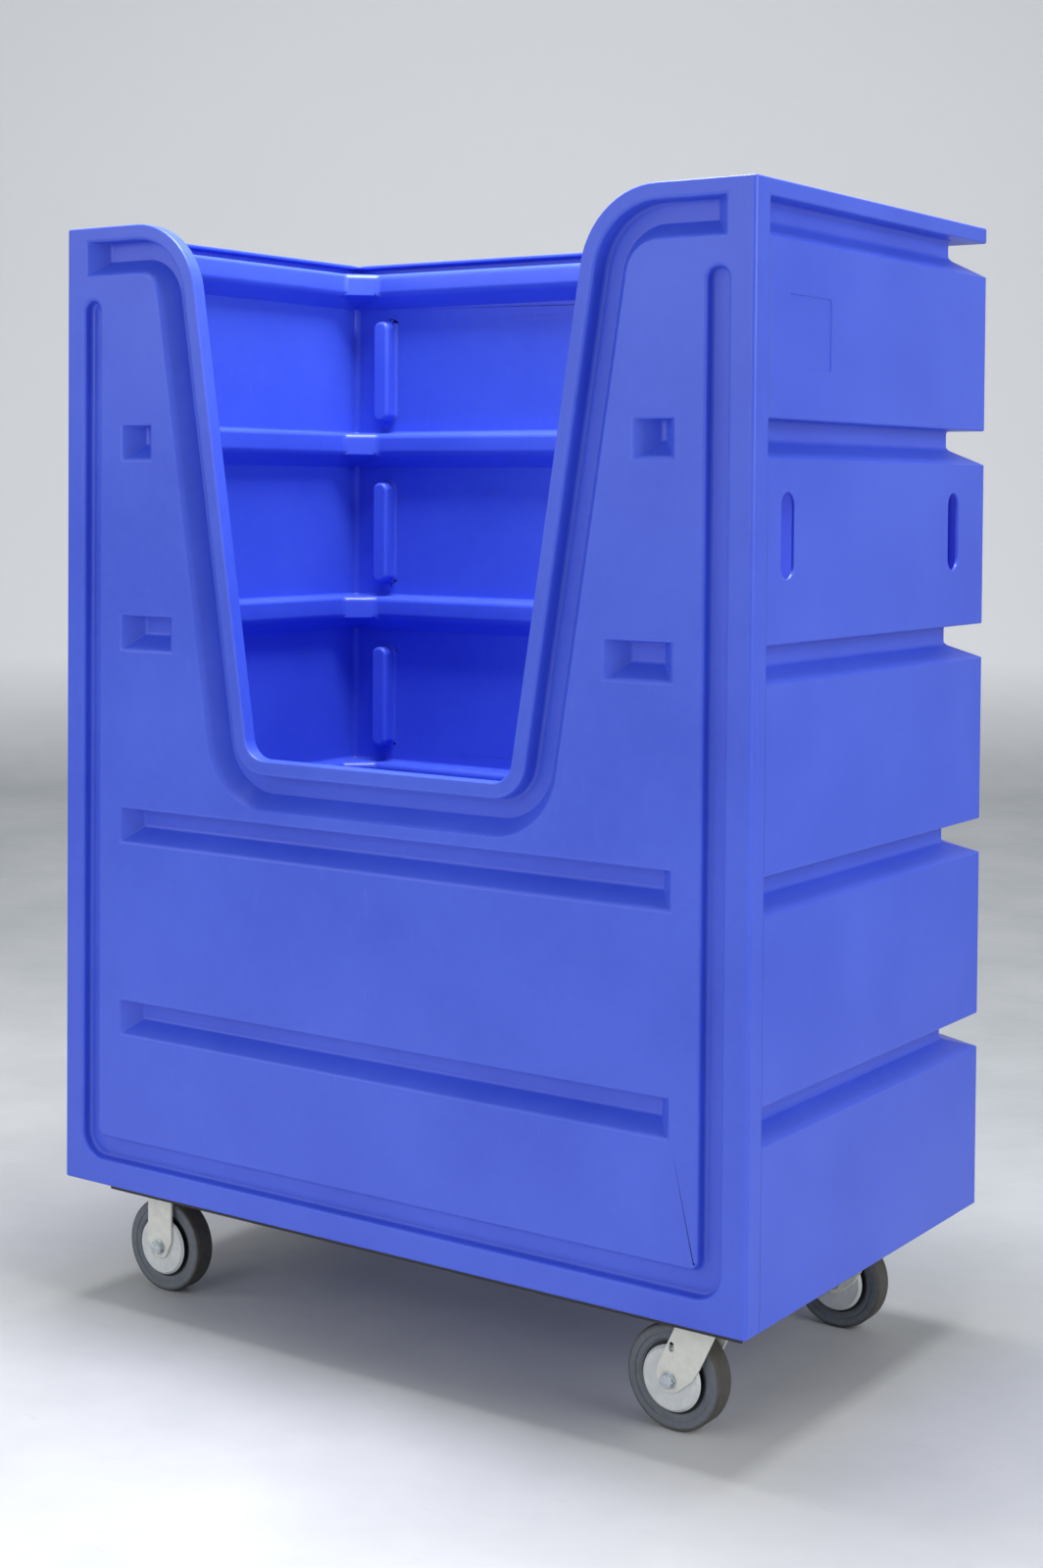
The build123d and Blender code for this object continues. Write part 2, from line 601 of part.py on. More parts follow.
def turned(x, y, points):
    # Revolves a half section, given as radius and offset along the axle, round the axle.
    with BuildPart() as piece:
        with BuildSketch(Plane(origin=(x, y, WHEEL_R), x_dir=(1, 0, 0), z_dir=(0, 0, 1))):
            Polygon(*points, align=None)
        revolve(axis=Axis((x, y, WHEEL_R), (0, 1, 0)))
    return piece.part


def make_tyre(name, x, y):
    # Solid rubber tyre with stepped side rings.
    near = [(TYRE_BORE, -CORE_RIM_HALF), (56, -16.5), (62, -16.5), (63, -18), (70, -TYRE_HALF)]
    near += [(74.5, -17.5), (WHEEL_R, -13)]
    section = near + [(r, -s) for r, s in reversed(near)]
    with BuildPart() as tyre:
        add(turned(x, y, section))
    tyre.part.label = name
    export_step(tyre.part, f"parts/{name}.step")


def make_wheel_core(name, x, y):
    # Moulded wheel centre: rim, web and hub.
    bore = SLEEVE_R + RUNNING_GAP
    near = [(bore, -HUB_HALF), (HUB_R, -HUB_HALF), (HUB_R, -CORE_WEB_HALF), (CORE_RIM, -CORE_WEB_HALF)]
    near += [(CORE_RIM, -CORE_RIM_HALF), (TYRE_BORE, -CORE_RIM_HALF)]
    section = near + [(r, -s) for r, s in reversed(near)]
    with BuildPart() as core:
        add(turned(x, y, section))
    core.part.label = name
    export_step(core.part, f"parts/{name}.step")


def make_sleeve(name, x, y):
    # Steel sleeve the hub turns on, clamped by the axle bolt.
    half = LEG_GAP_HALF - GUARD_T
    section = [(AXLE_R, -half), (SLEEVE_R, -half), (SLEEVE_R, half), (AXLE_R, half)]
    with BuildPart() as sleeve:
        add(turned(x, y, section))
    sleeve.part.label = name
    export_step(sleeve.part, f"parts/{name}.step")


def make_guards(name, x, y):
    # Dished discs that keep thread off the axle, one each side of the wheel.
    out = LEG_GAP_HALF
    back = out - GUARD_T
    near = [(AXLE_R, -back), (AXLE_R, -out), (GUARD_FACE_R, -out), (GUARD_R, GUARD_LIP - out)]
    near += [(GUARD_R - GUARD_T, GUARD_LIP + GUARD_T / 2 - out), (GUARD_FACE_R - GUARD_T / 2, -back)]
    with BuildPart() as guards:
        add(turned(x, y, near))
        add(turned(x, y, [(r, -s) for r, s in near]))
    guards.part.label = name
    export_step(guards.part, f"parts/{name}.step")


def make_axle_bolt(name, x, y):
    # Hexagon axle bolt with a washer face under its head.
    head_face = y - LEG_OUT_HALF
    shank = 2 * LEG_OUT_HALF + AXLE_NUT_H + TAIL
    with BuildPart() as bolt:
        with BuildSketch(Plane(origin=(x, head_face, WHEEL_R), x_dir=(1, 0, 0), z_dir=(0, 1, 0))):
            Circle(AXLE_R)
        extrude(amount=shank)
        with BuildSketch(Plane(origin=(x, head_face, WHEEL_R), x_dir=(1, 0, 0), z_dir=(0, -1, 0))):
            Circle(AXLE_FLANGE_R)
        extrude(amount=GUARD_T)
        with BuildSketch(Plane(origin=(x, head_face - GUARD_T, WHEEL_R), x_dir=(1, 0, 0), z_dir=(0, -1, 0))):
            RegularPolygon(AXLE_FLATS / 2, 6, major_radius=False)
        extrude(amount=AXLE_HEAD_H)
    bolt.part.label = name
    export_step(bolt.part, f"parts/{name}.step")


def make_axle_nut(name, x, y):
    # Lock nut on the far end of the axle bolt.
    with BuildPart() as nut:
        with BuildSketch(Plane(origin=(x, y + LEG_OUT_HALF, WHEEL_R), x_dir=(1, 0, 0), z_dir=(0, 1, 0))):
            RegularPolygon(AXLE_FLATS / 2, 6, major_radius=False)
            Circle(AXLE_R, mode=Mode.SUBTRACT)
        extrude(amount=AXLE_NUT_H)
    nut.part.label = name
    export_step(nut.part, f"parts/{name}.step")


make_body_shell()
make_long_rail("frame_front_rail", -1)
make_long_rail("frame_back_rail", 1)
make_end_rail("frame_left_rail", -1)
make_end_rail("frame_right_rail", 1)
make_caster_channel("frame_left_channel", RIGID_X)
make_caster_channel("frame_right_channel", SWIVEL_X)
make_stringers()
make_corner_plates()
make_dome_bolts("corner_bolts", CORNERS, CORNER_BOLT_D, GUSSET_FOOT - NUT_H - TAIL)
make_nuts("corner_nuts", CORNERS, CORNER_BOLT_D, GUSSET_FOOT)
make_dome_bolts("floor_bolts", FLOOR_POINTS, FLOOR_BOLT_D, CHANNEL_TOP - NUT_H - TAIL)
make_nuts("floor_nuts", FLOOR_POINTS, FLOOR_BOLT_D, CHANNEL_TOP)
make_pad_bolts()
make_nuts("caster_nuts", PAD_POINTS, PAD_BOLT_D, SEAT_Z + STEEL + NUT_H)
for place, side in (("front", -1), ("back", 1)):
    make_rigid_bracket(f"{place}_left_bracket", side * CASTER_Y)
    make_swivel_plate(f"{place}_right_plate", side * CASTER_Y)
    make_shield(f"{place}_right_shield", side * CASTER_Y)
    make_kingpin(f"{place}_right_kingpin", side * CASTER_Y)
    make_balls(f"{place}_right_balls", side * CASTER_Y)
    make_swivel_fork(f"{place}_right_fork", side * CASTER_Y)
    for hand, axle_x in (("left", RIGID_X), ("right", SWIVEL_X - TRAIL)):
        stem = f"{place}_{hand}"
        make_tyre(f"{stem}_tyre", axle_x, side * CASTER_Y)
        make_wheel_core(f"{stem}_wheel_core", axle_x, side * CASTER_Y)
        make_sleeve(f"{stem}_sleeve", axle_x, side * CASTER_Y)
        make_guards(f"{stem}_guards", axle_x, side * CASTER_Y)
        make_axle_bolt(f"{stem}_axle_bolt", axle_x, side * CASTER_Y)
        make_axle_nut(f"{stem}_axle_nut", axle_x, side * CASTER_Y)
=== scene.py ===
import bmesh
import bpy
import json
from itertools import combinations
from math import cos, hypot, pi, radians, sin, tan
from mathutils import Matrix, Vector


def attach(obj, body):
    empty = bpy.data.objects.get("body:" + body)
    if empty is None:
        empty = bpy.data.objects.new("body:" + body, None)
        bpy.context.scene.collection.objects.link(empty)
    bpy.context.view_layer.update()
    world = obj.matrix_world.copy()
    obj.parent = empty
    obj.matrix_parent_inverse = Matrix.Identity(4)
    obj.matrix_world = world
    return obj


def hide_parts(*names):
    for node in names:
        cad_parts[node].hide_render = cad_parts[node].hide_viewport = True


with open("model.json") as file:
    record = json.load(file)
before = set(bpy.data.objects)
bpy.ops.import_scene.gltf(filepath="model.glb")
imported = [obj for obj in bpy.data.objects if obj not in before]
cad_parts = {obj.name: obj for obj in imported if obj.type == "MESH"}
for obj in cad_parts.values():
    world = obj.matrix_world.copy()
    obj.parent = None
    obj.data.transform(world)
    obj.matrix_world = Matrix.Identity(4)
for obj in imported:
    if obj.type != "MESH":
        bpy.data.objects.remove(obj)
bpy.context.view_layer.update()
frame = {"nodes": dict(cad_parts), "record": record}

MM = 0.001

# ---------------------------------------------------------------- sizes shared with the CAD, in millimetres
TUB_X = 638  # half length and half depth of the tub
TUB_Y = 375
WHEEL_R = 76.2
MOULD_LINE_Y = -337
MOULD_LINE_END = 560  # the mould line shows only further out than this

# ---------------------------------------------------------------- how round each edge is, in millimetres
OUTSIDE_RIDGE = 5.5
OUTSIDE_HOLLOW = 6.0
INSIDE_RIDGE = 11.0
INSIDE_HOLLOW = 16.0
SHALLOW_TURN = radians(62)  # an edge that turns less than this is moulded softer
SHALLOW_EXTRA = 1.5
STEEL_EDGE = 1.2
THIN_STEEL_EDGE = 0.5
TYRE_EDGE = 4.0
GUARD_EDGE = 1.6
TREAD_DEPTH = 2.5  # how far down the shoulder the tread's dirt reaches

# ---------------------------------------------------------------- how edges are found and rounded
SHARP = radians(20)  # a turn above this is an edge, below it a facet of a curve
TYRE_SHARP = radians(15)
FLAT = radians(1)
SAME_PLANE = radians(0.5)
SAME_PLACE = 0.01  # millimetres
FACE_SHARE = 0.36  # most of a face that one rounded edge may take
CORNER_SHARE = 0.45  # most of the radius of a bend that a rounded edge along it may take
LEAST_BEND = radians(0.2)
LEAST_ROOM = 0.05  # millimetres; anything nearer is the edge itself
ROOM_SAMPLES = (0.12, 0.5, 0.88)  # where along an edge its room is measured
NO_LIMIT = 1e9
TUB_SEGMENTS = 4
STEEL_SEGMENTS = 2

# ---------------------------------------------------------------- the camera, in metres
VIEW_PLACE = (2.1257, -3.0563, 1.3269)
VIEW_YAW = radians(34.7407)
VIEW_PITCH = radians(1.4741)
VIEW_ROLL = radians(0.4181)
VIEW_LENS = 53.13  # millimetres
VIEW_SENSOR = 36
VIEW_SHIFT = -0.149


def linear(colour):
    # An sRGB hex colour as linear RGBA.
    parts = [int(colour[i:i + 2], 16) / 255 for i in (0, 2, 4)]
    return [c / 12.92 if c <= 0.04045 else ((c + 0.055) / 1.055) ** 2.4 for c in parts] + [1]


def add_node(tree, kind, settings=None, **inputs):
    # Adds a shader node; inputs are values or sockets, named with underscores for spaces.
    node = tree.nodes.new("ShaderNode" + kind)
    for name, value in (settings or {}).items():
        setattr(node, name, value)
    for name, value in inputs.items():
        key = int(name[1:]) if name[0] == "_" else name.replace("_", " ")
        socket = node.inputs[key]
        if isinstance(value, bpy.types.NodeSocket):
            tree.links.new(value, socket)
        else:
            socket.default_value = value
    return node


def new_material(name):
    material = bpy.data.materials.new(name)
    material.use_nodes = True
    tree = material.node_tree
    tree.nodes.clear()
    shader = add_node(tree, "BsdfPrincipled")
    output = add_node(tree, "OutputMaterial")
    tree.links.new(shader.outputs[0], output.inputs[0])
    return material, tree, shader


def ramp(tree, factor, stops):
    # Colour ramp between (position, hex colour) stops.
    node = add_node(tree, "ValToRGB", Fac=factor)
    points = node.color_ramp.elements
    while len(points) < len(stops):
        points.new(0.5)
    for point, (place, colour) in zip(points, stops):
        point.position = place
        point.color = linear(colour)
    return node.outputs[0]


def level(tree, factor, low, high, to_low, to_high):
    # A value spread from one range to another.
    ends = {"From_Min": low, "From_Max": high, "To_Min": to_low, "To_Max": to_high}
    return add_node(tree, "MapRange", Value=factor, **ends).outputs[0]


def noise(tree, place, size, detail=2, roughness=0.5):
    # Noise whose grain is size millimetres across.
    settings = {"Scale": 1 / (size * MM), "Detail": detail, "Roughness": roughness}
    return add_node(tree, "TexNoise", Vector=place, **settings).outputs[0]


def stretched(tree, place, x, y, z):
    return add_node(tree, "Mapping", Vector=place, Scale=(x, y, z)).outputs[0]


def mix(tree, factor, first, second, blend="MIX"):
    settings = {"data_type": "RGBA", "blend_type": blend}
    node = add_node(tree, "Mix", settings, _0=factor)
    for index, value in ((6, first), (7, second)):
        if isinstance(value, bpy.types.NodeSocket):
            tree.links.new(value, node.inputs[index])
        else:
            node.inputs[index].default_value = linear(value)
    return node.outputs[2]


def times(tree, first, second):
    return add_node(tree, "Math", {"operation": "MULTIPLY"}, _0=first, _1=second).outputs[0]


def plus(tree, first, second):
    return add_node(tree, "Math", {"operation": "ADD"}, _0=first, _1=second).outputs[0]


def size_of(tree, value):
    return add_node(tree, "Math", {"operation": "ABSOLUTE"}, _0=value).outputs[0]


def bump(tree, height, depth, strength, under=None):
    # Height in units of depth millimetres.
    node = add_node(tree, "Bump", Height=height, Distance=depth * MM, Strength=strength)
    if under is not None:
        tree.links.new(under, node.inputs["Normal"])
    return node.outputs[0]


def mould_line(tree, place):
    # One on the fine upright line that the mould's joint leaves near the front of both ends, else nothing.
    axes = add_node(tree, "SeparateXYZ", Vector=place).outputs
    away = size_of(tree, plus(tree, axes["Y"], -MOULD_LINE_Y * MM))
    line = level(tree, away, 0.5 * MM, 1.4 * MM, 1.0, 0.0)
    at_end = level(tree, size_of(tree, axes["X"]), MOULD_LINE_END * MM, (MOULD_LINE_END + 10) * MM, 0.0, 1.0)
    return times(tree, line, at_end)


def tub_polyethylene():
    # Rotationally moulded polyethylene: an even royal blue with a waxy half gloss. The skin is faintly
    # pebbled and a little wavy, with paler clouds and a few fine rubbed lines; the mould line gets painted
    # shade.
    material, tree, shader = new_material("rotomoulded_polyethylene")
    place = add_node(tree, "TexCoord").outputs["Object"]
    clouds = noise(tree, place, 260, 3)
    mottle = noise(tree, place, 18, 4, 0.6)
    base = ramp(tree, clouds, [(0.3, "3c57d4"), (0.7, "4762de")])
    speck = level(tree, mottle, 0.35, 0.75, 0.0, 0.10)
    base = mix(tree, speck, base, "5c78ee")
    rubs = noise(tree, stretched(tree, place, 9, 9, 1), 60, 5, 0.7)
    rub_amount = level(tree, rubs, 0.62, 0.80, 0.0, 0.16)
    base = mix(tree, rub_amount, base, "8ca2f4")
    seam_and_painted_shade = mould_line(tree, place)
    # Painted shade: the mould line is painted a darker blue, standing in for the shade in its fine groove.
    base = mix(tree, times(tree, seam_and_painted_shade, 0.45), base, "2438a4")
    tree.links.new(base, shader.inputs["Base Color"])
    gloss = plus(tree, level(tree, mottle, 0.3, 0.7, 0.34, 0.42), times(tree, rub_amount, 0.6))
    tree.links.new(gloss, shader.inputs["Roughness"])
    waves = bump(tree, clouds, 1.5, 0.35)
    pebble = bump(tree, noise(tree, place, 2.2, 2), 0.05, 0.5, waves)
    tree.links.new(bump(tree, times(tree, seam_and_painted_shade, -1.0), 0.6, 0.8, pebble), shader.inputs["Normal"])
    shader.inputs["IOR"].default_value = 1.51
    shader.inputs["Subsurface Weight"].default_value = 0.06
    shader.inputs["Subsurface Radius"].default_value = (0.004, 0.006, 0.02)
    shader.inputs["Subsurface Scale"].default_value = 0.5
    return material


def frame_enamel():
    # Black enamel sprayed on mild steel: nearly black, a low gloss with dust in it.
    material, tree, shader = new_material("black_enamelled_steel")
    place = add_node(tree, "TexCoord").outputs["Object"]
    dust = noise(tree, place, 30, 5, 0.65)
    base = ramp(tree, dust, [(0.35, "101114"), (0.75, "26272a")])
    tree.links.new(base, shader.inputs["Base Color"])
    tree.links.new(level(tree, dust, 0.3, 0.7, 0.36, 0.6), shader.inputs["Roughness"])
    tree.links.new(bump(tree, noise(tree, place, 1.6, 2), 0.05, 0.5), shader.inputs["Normal"])
    return material


def caster_plating(name, pale, dark, metal):
    # Off-white plated pressing: cloudy and nearly matt, with small dark nicks and grey rubs.
    material, tree, shader = new_material(name)
    place = add_node(tree, "TexCoord").outputs["Object"]
    clouds = noise(tree, place, 14, 4, 0.6)
    base = ramp(tree, clouds, [(0.3, dark), (0.7, pale)])
    nicks = noise(tree, place, 5, 3, 0.7)
    nick = level(tree, nicks, 0.70, 0.76, 0.0, 0.7)
    base = mix(tree, nick, base, "6b665c")
    tree.links.new(base, shader.inputs["Base Color"])
    rough = plus(tree, level(tree, clouds, 0.3, 0.7, 0.42, 0.55), times(tree, nick, 0.3))
    tree.links.new(rough, shader.inputs["Roughness"])
    skin = bump(tree, noise(tree, place, 1.2, 2), 0.03, 0.5)
    tree.links.new(bump(tree, nick, 0.08, 0.6, skin), shader.inputs["Normal"])
    shader.inputs["Metallic"].default_value = metal
    return material


def tyre_rubber():
    # Solid grey thermoplastic rubber: matt, a little chalky, dusty brown on the tread.
    material, tree, shader = new_material("grey_thermoplastic_rubber")
    place = add_node(tree, "TexCoord").outputs["Object"]
    wear = add_node(tree, "Attribute", {"attribute_name": "tread"}).outputs["Fac"]
    chalk = noise(tree, place, 9, 5, 0.65)
    side = ramp(tree, chalk, [(0.3, "5f656d"), (0.7, "70767e")])
    tread = ramp(tree, chalk, [(0.3, "3f3e3b"), (0.7, "545048")])
    base = mix(tree, wear, side, tread)
    tree.links.new(base, shader.inputs["Base Color"])
    tree.links.new(level(tree, chalk, 0.3, 0.7, 0.52, 0.68), shader.inputs["Roughness"])
    grit = noise(tree, place, 0.9, 3)
    tree.links.new(bump(tree, grit, 0.06, 0.4), shader.inputs["Normal"])
    return material


def core_plastic():
    # Black moulded polypropylene: deep, soft sheen.
    material, tree, shader = new_material("black_polypropylene")
    place = add_node(tree, "TexCoord").outputs["Object"]
    dust = noise(tree, place, 8, 4)
    tree.links.new(ramp(tree, dust, [(0.3, "0b0d11"), (0.75, "1c2028")]), shader.inputs["Base Color"])
    tree.links.new(level(tree, dust, 0.3, 0.7, 0.32, 0.5), shader.inputs["Roughness"])
    return material


def bright_zinc():
    # Clear zinc plate on steel: cool and bright, a fine frosted grain.
    material, tree, shader = new_material("bright_zinc_plate")
    place = add_node(tree, "TexCoord").outputs["Object"]
    grain = noise(tree, place, 1.5, 3)
    base = ramp(tree, noise(tree, place, 6, 3), [(0.3, "b4bcc2"), (0.7, "dde3e6")])
    tree.links.new(base, shader.inputs["Base Color"])
    tree.links.new(level(tree, grain, 0.3, 0.7, 0.18, 0.36), shader.inputs["Roughness"])
    tree.links.new(bump(tree, grain, 0.02, 0.4), shader.inputs["Normal"])
    shader.inputs["Metallic"].default_value = 1.0
    return material


def bearing_steel():
    # Ground and hardened steel, oily and grey.
    material, tree, shader = new_material("ground_bearing_steel")
    place = add_node(tree, "TexCoord").outputs["Object"]
    film = noise(tree, place, 4, 3)
    tree.links.new(ramp(tree, film, [(0.3, "6f7276"), (0.7, "9a9da0")]), shader.inputs["Base Color"])
    tree.links.new(level(tree, film, 0.3, 0.7, 0.2, 0.4), shader.inputs["Roughness"])
    shader.inputs["Metallic"].default_value = 1.0
    return material


POLYETHYLENE = tub_polyethylene()
ENAMEL = frame_enamel()
PLATING = caster_plating("off_white_plated_steel", "ecece4", "dcddd5", 0.0)
GUARD_PLATING = caster_plating("pale_grey_plated_steel", "dfe2e2", "ced2d3", 0.0)
RUBBER = tyre_rubber()
CORE = core_plastic()
ZINC = bright_zinc()
BEARING = bearing_steel()


def finish_piece(mesh, name, material, body, slot, replaced):
    # Turns a bmesh into a piece that rides on a body and stands for CAD nodes.
    data = bpy.data.meshes.new(name)
    mesh.to_mesh(data)
    mesh.free()
    for face in data.polygons:
        face.use_smooth = True
    piece = bpy.data.objects.new(name, data)
    bpy.context.scene.collection.objects.link(piece)
    data.materials.append(material)
    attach(piece, body)
    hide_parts(*replaced)
    return piece


def body_of_node(node):
    for body, members in frame["record"]["behaviour"]["bodies"].items():
        if node in members:
            return body


def merged_copy(node):
    # A copy of a CAD node, its loose triangles joined into flat faces.
    mesh = bmesh.new()
    mesh.from_mesh(frame["nodes"][node].data)
    bmesh.ops.remove_doubles(mesh, verts=mesh.verts, dist=SAME_PLACE * MM)
    bmesh.ops.dissolve_limit(mesh, angle_limit=SAME_PLANE, verts=mesh.verts, edges=mesh.edges)
    return mesh


def sharp_edges(mesh, angle):
    return [e for e in mesh.edges if len(e.link_faces) == 2 and e.calc_face_angle() > angle]


def flat_regions(mesh):
    # Numbers every face by the flat region that it is part of.
    region = {}
    for count, seed in enumerate(mesh.faces):
        if seed in region:
            continue
        region[seed] = count
        waiting = [seed]
        while waiting:
            for edge in waiting.pop().edges:
                for face in edge.link_faces:
                    if face not in region and edge.calc_face_angle(pi) < FLAT:
                        region[face] = count
                        waiting.append(face)
    return region


def region_rims(mesh, region):
    # The edges round each flat region, as points in the region's own plane.
    axes = {}
    rims = {}
    for face, number in region.items():
        if number not in axes:
            across = face.normal.orthogonal().normalized()
            axes[number] = (across, face.normal.cross(across))
            rims[number] = []
    for edge in mesh.edges:
        numbers = {region[face] for face in edge.link_faces}
        if len(numbers) == 2:
            for number in numbers:
                u, v = axes[number]
                first, last = (vert.co for vert in edge.verts)
                rims[number].append((first.dot(u), first.dot(v), last.dot(u), last.dot(v)))
    return axes, rims


def room_beside(edge, face, region, axes, rims):
    # Distance from an edge across the flat region beside it to the region's next edge.
    loop = next(loop for loop in face.loops if loop.edge == edge)
    u, v = axes[region[face]]
    start, end = loop.vert.co, loop.link_loop_next.vert.co
    run = end - start
    ax, ay = run.dot(u) / run.length, run.dot(v) / run.length
    inward = face.normal.cross(run)
    bx, by = inward.dot(u) / run.length, inward.dot(v) / run.length
    nearest = NO_LIMIT
    for share in ROOM_SAMPLES:
        point = start.lerp(end, share)
        px, py = point.dot(u), point.dot(v)
        for x1, y1, x2, y2 in rims[region[face]]:
            along1 = (x1 - px) * ax + (y1 - py) * ay
            along2 = (x2 - px) * ax + (y2 - py) * ay
            if along1 * along2 < 0:
                away1 = (x1 - px) * bx + (y1 - py) * by
                away2 = (x2 - px) * bx + (y2 - py) * by
                away = away1 + (away2 - away1) * along1 / (along1 - along2)
                if LEAST_ROOM * MM < away < nearest:
                    nearest = away
    return nearest


def moulded_radius(edge):
    # Rotational moulding leaves the outside crisp and the inside soft, in millimetres.
    middle = (edge.verts[0].co + edge.verts[1].co) / 2
    facing = edge.link_faces[0].normal + edge.link_faces[1].normal
    outward = facing.x * middle.x / TUB_X ** 2 + facing.y * middle.y / TUB_Y ** 2
    if outward > 0:
        radius = OUTSIDE_RIDGE if edge.is_convex else OUTSIDE_HOLLOW
    else:
        radius = INSIDE_RIDGE if edge.is_convex else INSIDE_HOLLOW
    if edge.calc_face_angle() < SHALLOW_TURN:
        radius *= SHALLOW_EXTRA
    return radius


def hold_at_corner(vert, widths):
    # Keeps the rounding at a corner from running past the corner's own radius or past a short edge there.
    eased = [edge for edge in vert.link_edges if edge in widths]
    limit = NO_LIMIT
    for edge in vert.link_edges:
        if eased and edge not in widths:
            limit = min(limit, FACE_SHARE * edge.calc_length())
    for first, second in combinations(eased, 2):
        one = first.other_vert(vert).co - vert.co
        two = second.other_vert(vert).co - vert.co
        turn = max(pi - one.angle(two), LEAST_BEND)
        limit = min(limit, CORNER_SHARE * (one.length + two.length) / (4 * tan(turn / 2)))
    for edge in eased:
        widths[edge] = min(widths[edge], limit)


def straight_on(edge, vert):
    # The sharp edges that carry on past a vertex with hardly a turn.
    way = vert.co - edge.other_vert(vert).co
    for other in vert.link_edges:
        if other != edge and way.angle(other.other_vert(vert).co - vert.co) < SHARP:
            yield other


def even_along_runs(widths):
    # One width all along each run of edges that carry on into one another.
    waiting = set(widths)
    while waiting:
        run = [waiting.pop()]
        for edge in run:
            for vert in edge.verts:
                for other in straight_on(edge, vert):
                    if other in waiting:
                        waiting.remove(other)
                        run.append(other)
        least = min(widths[edge] for edge in run)
        for edge in run:
            widths[edge] = least


def weigh_edges(mesh, radius_of, sharp):
    # Gives every sharp edge a bevel weight for its own radius, and returns the width of weight one.
    layer = mesh.edges.layers.float.new("bevel_weight_edge")
    region = flat_regions(mesh)
    axes, rims = region_rims(mesh, region)
    widths = {}
    for edge in sharp_edges(mesh, sharp):
        room = min(room_beside(edge, face, region, axes, rims) for face in edge.link_faces)
        wanted = radius_of(edge) * MM * tan(edge.calc_face_angle() / 2)
        widths[edge] = min(wanted, FACE_SHARE * room)
    for vert in mesh.verts:
        hold_at_corner(vert, widths)
    even_along_runs(widths)
    widest = max(widths.values())
    for edge, width in widths.items():
        edge[layer] = width / widest
    return widest


def add_bevel(piece, width, segments):
    # Rounds each edge by its own weight.
    bevel = piece.modifiers.new("rounded_edges", "BEVEL")
    bevel.limit_method = "WEIGHT"
    bevel.width = width
    bevel.segments = segments
    bevel.profile = 0.5
    bevel.use_clamp_overlap = False
    return bevel


def even_shading(piece):
    # Keeps flat faces flat and lets the rounded edges carry the turn.
    normals = piece.modifiers.new("flat_faces", "WEIGHTED_NORMAL")
    normals.keep_sharp = True


def mark_tread(mesh):
    # Marks the running face of a tyre, so that its rubber can be dirtier there.
    layer = mesh.verts.layers.float.new("tread")
    places = [vert.co for vert in mesh.verts]
    centre_x = (min(p.x for p in places) + max(p.x for p in places)) / 2
    centre_z = (min(p.z for p in places) + max(p.z for p in places)) / 2
    for vert in mesh.verts:
        away = hypot(vert.co.x - centre_x, vert.co.z - centre_z)
        vert[layer] = 1.0 if away > (WHEEL_R - TREAD_DEPTH) * MM else 0.0


def softened(node, material, slot, radius, sharp):
    # A CAD node with its edges rounded.
    mesh = merged_copy(node)
    if "_tyre" in node:
        mark_tread(mesh)
    width = weigh_edges(mesh, lambda edge: radius, sharp)
    piece = finish_piece(mesh, node + "_soft", material, body_of_node(node), slot, [node])
    add_bevel(piece, width, STEEL_SEGMENTS)
    even_shading(piece)


# ---------------------------------------------------------------- the tub
tub = merged_copy("body_shell")
tub_width = weigh_edges(tub, moulded_radius, SHARP)
tub_piece = finish_piece(tub, "moulded_tub", POLYETHYLENE, "cart", "tub_polyethylene", ["body_shell"])
add_bevel(tub_piece, tub_width, TUB_SEGMENTS)
even_shading(tub_piece)

# ---------------------------------------------------------------- steel and fasteners
# Part of a node's name, then its material, slot, edge radius and the least turn that counts as an edge.
ROUNDED_NODES = (
    ("_rail", ENAMEL, "frame_black_steel", STEEL_EDGE, SHARP),
    ("_channel", ENAMEL, "frame_black_steel", STEEL_EDGE, SHARP),
    ("_stringers", ENAMEL, "frame_black_steel", STEEL_EDGE, SHARP),
    ("_bracket", PLATING, "caster_plated_steel", STEEL_EDGE, SHARP),
    ("_fork", PLATING, "caster_plated_steel", STEEL_EDGE, SHARP),
    ("_right_plate", PLATING, "caster_plated_steel", STEEL_EDGE, SHARP),
    ("_shield", PLATING, "caster_plated_steel", THIN_STEEL_EDGE, SHARP),
    ("_tyre", RUBBER, "tyre_grey_rubber", TYRE_EDGE, TYRE_SHARP),
    ("_guards", GUARD_PLATING, "guard_plated_steel", GUARD_EDGE, SHARP),
    ("_axle_", ZINC, "fastener_zinc", THIN_STEEL_EDGE, SHARP),
)
for node in sorted(frame["nodes"]):
    for mark, material, slot, radius, sharp in ROUNDED_NODES:
        if mark in node:
            softened(node, material, slot, radius, sharp)
            break

# Hidden or very small nodes keep their CAD shape.
PLAIN_NODES = (
    ("_corner_plates", ENAMEL),
    ("_wheel_core", CORE),
    ("_balls", BEARING),
    ("_sleeve", BEARING),
    ("_kingpin", BEARING),
    ("_bolts", ZINC),
    ("_nuts", ZINC),
)
for node, thing in frame["nodes"].items():
    for mark, material in PLAIN_NODES:
        if mark in node:
            thing.data.materials.clear()
            thing.data.materials.append(material)
            break

# ---------------------------------------------------------------- floor, light and camera
FLOOR_REACH = 9.0
WALL_RISE = 5.0
COVE = 2.5
COVE_STEPS = 12
FLOOR_STEPS = 96
FLOOR_MERGE = 0.0005


